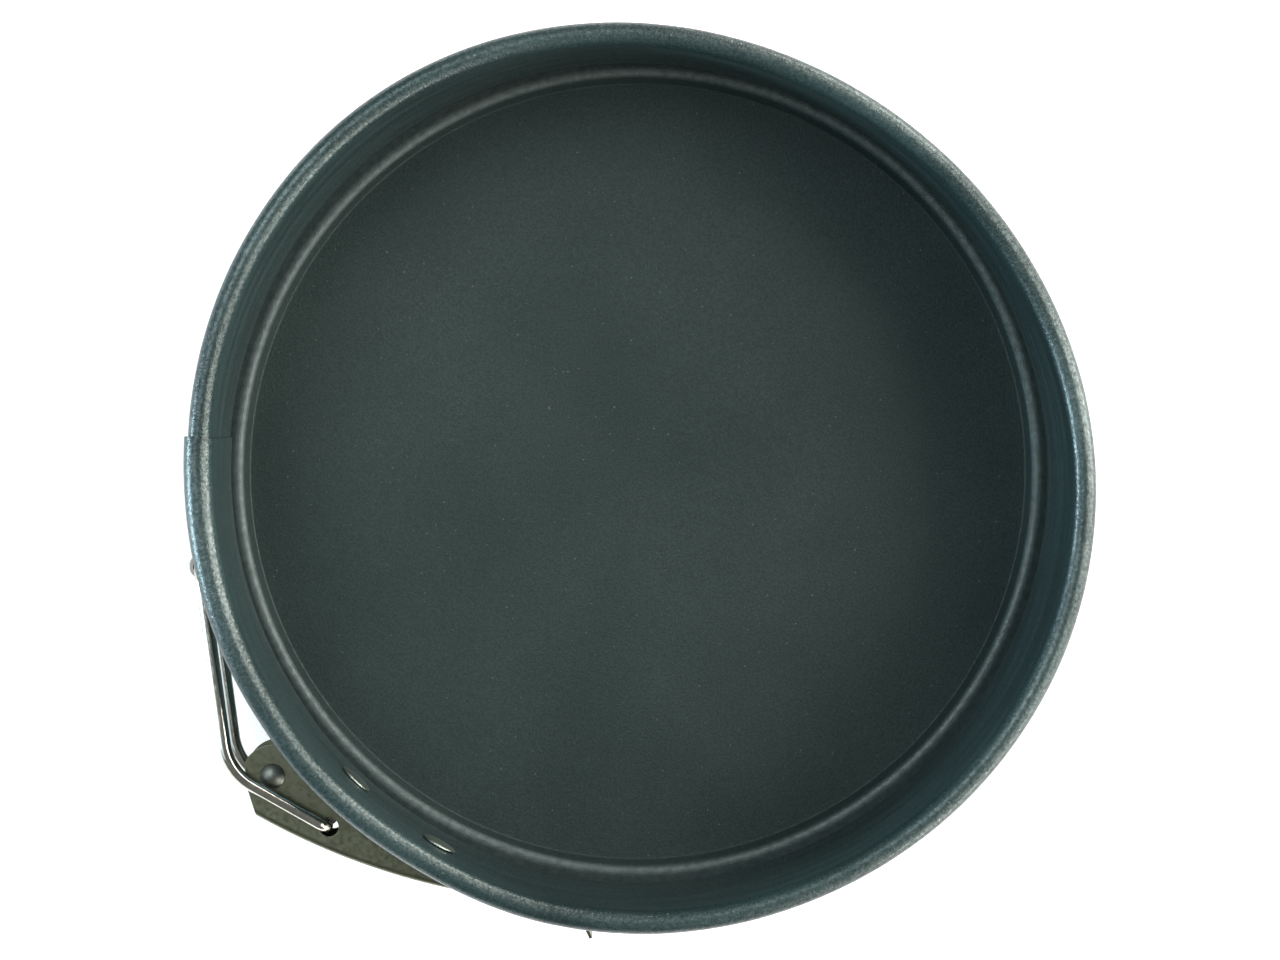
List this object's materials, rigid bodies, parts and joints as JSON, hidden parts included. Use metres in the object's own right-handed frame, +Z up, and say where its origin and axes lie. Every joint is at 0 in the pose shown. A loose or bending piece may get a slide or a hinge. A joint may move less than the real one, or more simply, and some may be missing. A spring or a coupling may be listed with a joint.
{
  "type": "springform pan",
  "caption": "Round baking pan with a loose base plate held in the groove of a spring-steel ring that opens with an over-centre lever latch.",
  "frame": {"origin": "centre of the flat underside of the base plate, on the pan's axis", "axes": "+Z up along the pan's axis; the latch is on the outside of the ring between azimuths 178 and 264 degrees, measured about +Z from +X"},
  "size_m": [0.2759, 0.2803, 0.0656],
  "materials": {
    "coated_steel": "dark grey-green non-stick coating, satin",
    "coated_floor": "dark grey-green non-stick coating, matt with fine speckle",
    "lever_steel": "bright rolled sheet with a slight yellow cast",
    "bracket_steel": "plated sheet, satin",
    "wire_steel": "bright drawn wire",
    "rivet_steel": "bright plated"
  },
  "bodies": {
    "base": {"base_plate": "coated_floor"},
    "ring_back": {"band_back": "coated_steel"},
    "ring_bail_arm": {"band_bail_arm": "coated_steel", "bail_bracket": "bracket_steel"},
    "ring_lever_arm": {"band_lever_arm": "coated_steel", "lever_bracket": "bracket_steel", "lever_bracket_rivet_low": "rivet_steel", "lever_bracket_rivet_high": "rivet_steel", "lever_pivot_pin": "rivet_steel"},
    "lever": {"lever": "lever_steel"},
    "bail": {"bail": "wire_steel"}
  },
  "joints": [
    {"name": "ring_lift", "type": "slide", "parent": "base", "child": "ring_back", "axis": [0, 0, 1], "range_m": [0, 0.09], "deforming": ["band_back"]},
    {"name": "bail_arm_flex", "type": "hinge", "parent": "ring_back", "child": "ring_bail_arm", "pos_m": [-0.03306, 0.12604, 0.033], "axis": [0, 0, -1], "range_deg": [0, 6.03], "deforming": ["band_bail_arm"]},
    {"name": "lever_arm_flex", "type": "hinge", "parent": "ring_back", "child": "ring_lever_arm", "pos_m": [0.01971, -0.1288, 0.033], "axis": [0, 0, 1], "range_deg": [0, 6.03], "deforming": ["band_lever_arm"]},
    {"name": "lever_swing", "type": "hinge", "parent": "ring_lever_arm", "child": "lever", "pos_m": [-0.11337, -0.09263, 0.033], "axis": [0, 0, -1], "range_deg": [0, 150]},
    {"name": "bail_swing", "type": "hinge", "parent": "ring_bail_arm", "child": "bail", "pos_m": [-0.13513, -0.02798, 0.033], "axis": [0, 0, -1], "range_deg": [0, 11.75], "deforming": ["bail"]}
  ],
  "couplings": [
    {"joint": "bail_arm_flex", "follows": "lever_swing", "ratio": 0.040148},
    {"joint": "lever_arm_flex", "follows": "lever_swing", "ratio": 0.040148},
    {"joint": "bail_swing", "follows": "lever_swing", "ratio": 0.07829}
  ]
}
